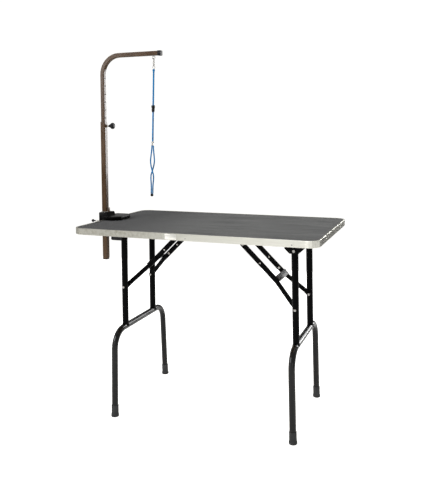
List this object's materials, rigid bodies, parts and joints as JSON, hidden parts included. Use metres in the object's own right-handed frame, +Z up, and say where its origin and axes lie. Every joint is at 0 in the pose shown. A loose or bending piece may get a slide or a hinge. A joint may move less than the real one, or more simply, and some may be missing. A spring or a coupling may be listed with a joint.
{
  "type": "grooming table",
  "caption": "Folding pet grooming table on two hinged leg frames, with a clamp-on height-adjustable arm and a hanging noose leash",
  "frame": {"origin": "on the floor, midway between the outermost points of the whole object, arm and clamp included", "axes": "X along the tabletop, positive away from the arm; Y across the tabletop, positive to the far side; Z up"},
  "size_m": [1.046, 0.6093, 1.4583],
  "materials": {
    "black_powder_coat": "gloss black powder coat",
    "brown_powder_coat": "dark olive brown gloss powder coat",
    "aluminium": "satin extruded",
    "zinc": "bright zinc plate",
    "mat_rubber": "matt, finely ribbed",
    "wood": "particle board, plain",
    "black_rubber": "matt moulded",
    "black_plastic": "gloss moulded",
    "blue_cord": "braided nylon"
  },
  "bodies": {
    "table": {"tabletop_board": "wood", "rubber_mat": "mat_rubber", "edge_trim": "aluminium", "trim_joint_plate": "aluminium", "clamp_body": "black_powder_coat", "left_near_leg_bracket": "black_powder_coat", "left_near_pivot_bolt": "zinc", "left_far_leg_bracket": "black_powder_coat", "left_far_pivot_bolt": "zinc", "left_stay_anchor": "black_powder_coat", "left_stay_rod": "zinc", "right_near_leg_bracket": "black_powder_coat", "right_near_pivot_bolt": "zinc", "right_far_leg_bracket": "black_powder_coat", "right_far_pivot_bolt": "zinc", "right_stay_anchor": "black_powder_coat", "right_stay_rod": "zinc"},
    "left_leg": {"left_lower_tube": "black_powder_coat", "left_near_upright": "black_powder_coat", "left_near_rubber_foot": "black_rubber", "left_near_stay_bolt": "zinc", "left_far_upright": "black_powder_coat", "left_far_rubber_foot": "black_rubber", "left_far_stay_bolt": "zinc"},
    "left_upper_stays": {"left_near_upper_stay": "black_powder_coat", "left_far_upper_stay": "black_powder_coat", "left_stay_tie_plate": "black_powder_coat"},
    "left_lower_stays": {"left_near_lower_stay": "black_powder_coat", "left_far_lower_stay": "black_powder_coat"},
    "right_leg": {"right_lower_tube": "black_powder_coat", "right_near_upright": "black_powder_coat", "right_near_rubber_foot": "black_rubber", "right_near_stay_bolt": "zinc", "right_far_upright": "black_powder_coat", "right_far_rubber_foot": "black_rubber", "right_far_stay_bolt": "zinc"},
    "right_upper_stays": {"right_near_upper_stay": "black_powder_coat", "right_far_upper_stay": "black_powder_coat", "right_stay_tie_plate": "black_powder_coat"},
    "right_lower_stays": {"right_near_lower_stay": "black_powder_coat", "right_far_lower_stay": "black_powder_coat"},
    "clamp_pad": {"clamp_pressure_pad": "black_rubber"},
    "clamp_screw": {"clamp_screw": "zinc", "clamp_wing_knob": "black_plastic"},
    "lock_screw": {"post_lock_screw": "zinc"},
    "post": {"arm_post": "brown_powder_coat", "post_bottom_plug": "black_plastic"},
    "height_screw": {"height_knob": "black_plastic"},
    "arm": {"bent_arm": "brown_powder_coat", "arm_end_cap": "black_plastic", "leash_eye": "zinc"},
    "snap": {"leash_snap": "zinc"},
    "leash": {"leash_swivel": "zinc", "leash_top_knot": "blue_cord", "leash_line": "blue_cord", "leash_crimp": "zinc", "noose_left_strand": "blue_cord", "noose_right_strand": "blue_cord", "noose_end_ball": "black_plastic"},
    "slide_lock": {"leash_slide_lock": "black_plastic"}
  },
  "joints": [
    {"name": "left_leg_fold", "type": "hinge", "parent": "table", "child": "left_leg", "pos_m": [-0.3005, 0, 0.7195], "axis": [0, -1, 0], "range_deg": [0, 90]},
    {"name": "left_upper_stay_fold", "type": "hinge", "parent": "table", "child": "left_upper_stays", "pos_m": [-0.081, 0, 0.7195], "axis": [0, 1, 0], "range_deg": [0, 45.05]},
    {"name": "left_lower_stay_fold", "type": "hinge", "parent": "left_leg", "child": "left_lower_stays", "pos_m": [-0.3005, 0, 0.5], "axis": [0, -1, 0], "range_deg": [0, 45.05]},
    {"name": "right_leg_fold", "type": "hinge", "parent": "table", "child": "right_leg", "pos_m": [0.4025, 0, 0.6925], "axis": [0, 1, 0], "range_deg": [0, 91.08]},
    {"name": "right_upper_stay_fold", "type": "hinge", "parent": "table", "child": "right_upper_stays", "pos_m": [0.183, 0, 0.6925], "axis": [0, -1, 0], "range_deg": [0, 44.51]},
    {"name": "right_lower_stay_fold", "type": "hinge", "parent": "right_leg", "child": "right_lower_stays", "pos_m": [0.40664, 0, 0.47304], "axis": [0, 1, 0], "range_deg": [0, 44.51]},
    {"name": "clamp_screw_turn", "type": "hinge", "parent": "clamp_pad", "child": "clamp_screw", "pos_m": [-0.3885, -0.01, 0.7], "axis": [0, 0, -1], "range_deg": [0, 2520]},
    {"name": "clamp_pad_travel", "type": "slide", "parent": "table", "child": "clamp_pad", "axis": [0, 0, 1], "range_m": [-0.0176, 0]},
    {"name": "post_lock_screw_turn", "type": "hinge", "parent": "table", "child": "lock_screw", "pos_m": [-0.5175, -0.01, 0.7463], "axis": [-1, 0, 0], "range_deg": [0, 720]},
    {"name": "post_height", "type": "slide", "parent": "table", "child": "post", "axis": [0, 0, 1], "range_m": [0, 0.09]},
    {"name": "arm_height", "type": "slide", "parent": "post", "child": "arm", "axis": [0, 0, 1], "range_m": [-0.09, 0.15]},
    {"name": "height_knob_turn", "type": "hinge", "parent": "post", "child": "height_screw", "pos_m": [-0.454, -0.01, 1.1545], "axis": [1, 0, 0], "range_deg": [0, 1080]},
    {"name": "leash_swing", "type": "hinge", "parent": "arm", "child": "snap", "pos_m": [-0.215, -0.01, 1.4245], "axis": [1, 0, 0], "range_deg": [-25, 25]},
    {"name": "leash_spin", "type": "hinge", "parent": "snap", "child": "leash", "pos_m": [-0.215, -0.01, 1.4073], "axis": [0.0288, 0, 0.9996], "continuous": true},
    {"name": "slide_lock_travel", "type": "slide", "parent": "leash", "child": "slide_lock", "axis": [0.0288, 0, 0.9996], "range_m": [-0.118, 0.13]}
  ],
  "couplings": [
    {"joint": "left_upper_stay_fold", "follows": "left_leg_fold", "ratio": 0.5},
    {"joint": "left_lower_stay_fold", "follows": "left_leg_fold", "ratio": 0.5},
    {"joint": "right_upper_stay_fold", "follows": "right_leg_fold", "ratio": 0.48814},
    {"joint": "right_lower_stay_fold", "follows": "right_leg_fold", "ratio": 0.48814},
    {"joint": "clamp_pad_travel", "follows": "clamp_screw_turn", "m_per_rad": -0.000398}
  ]
}
